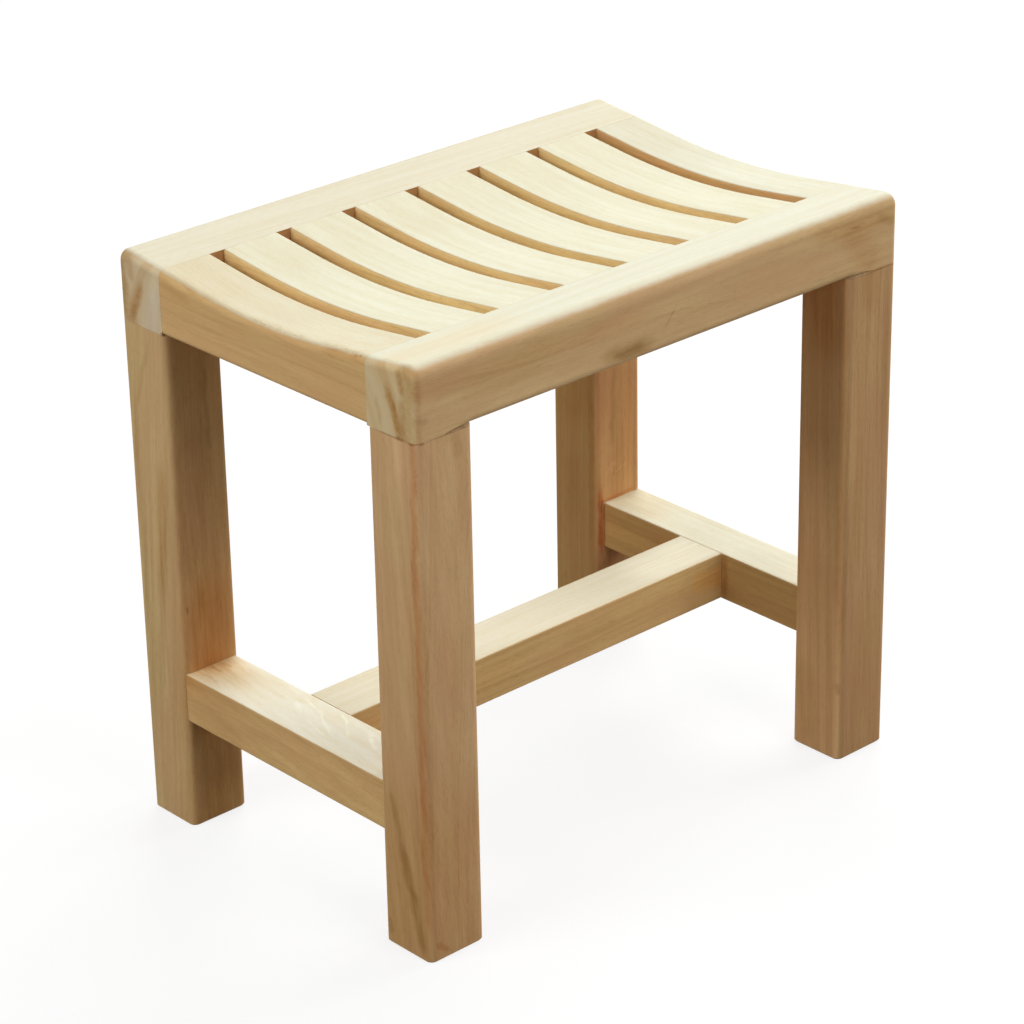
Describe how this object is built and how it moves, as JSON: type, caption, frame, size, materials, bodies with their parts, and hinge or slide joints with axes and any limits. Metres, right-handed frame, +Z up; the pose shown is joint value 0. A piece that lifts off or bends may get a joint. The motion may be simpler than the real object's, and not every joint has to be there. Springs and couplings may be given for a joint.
{
  "type": "wooden shower bench",
  "caption": "Free-standing wooden shower bench with a dished, slatted seat in a rail frame, square legs and an H-shaped stretcher.",
  "frame": {"origin": "on the floor under the middle of the bench", "axes": "+X along the bench's length, -Y towards the front long side, +Z up"},
  "size_m": [0.4, 0.27, 0.384],
  "materials": {
    "rail_wood": "bare planed softwood, satin, grain along the bench",
    "end_rail_wood": "bare planed softwood, satin, grain across the bench",
    "slat_wood": "bare planed softwood, satin, grain across the bench",
    "leg_wood": "bare planed softwood, satin, upright grain",
    "stretcher_wood": "bare planed softwood, satin, grain along each stretcher",
    "dowel_wood": "turned hardwood, hidden in the joints"
  },
  "bodies": {
    "root": {"front_rail": "rail_wood", "back_rail": "rail_wood", "left_end_rail": "end_rail_wood", "right_end_rail": "end_rail_wood", "slat_1": "slat_wood", "slat_2": "slat_wood", "slat_3": "slat_wood", "slat_4": "slat_wood", "slat_5": "slat_wood", "slat_6": "slat_wood", "leg_front_left": "leg_wood", "leg_front_right": "leg_wood", "leg_back_left": "leg_wood", "leg_back_right": "leg_wood", "left_stretcher": "stretcher_wood", "right_stretcher": "stretcher_wood", "centre_stretcher": "stretcher_wood", "dowels_front_left": "dowel_wood", "dowels_front_right": "dowel_wood", "dowels_back_left": "dowel_wood", "dowels_back_right": "dowel_wood"}
  },
  "joints": []
}
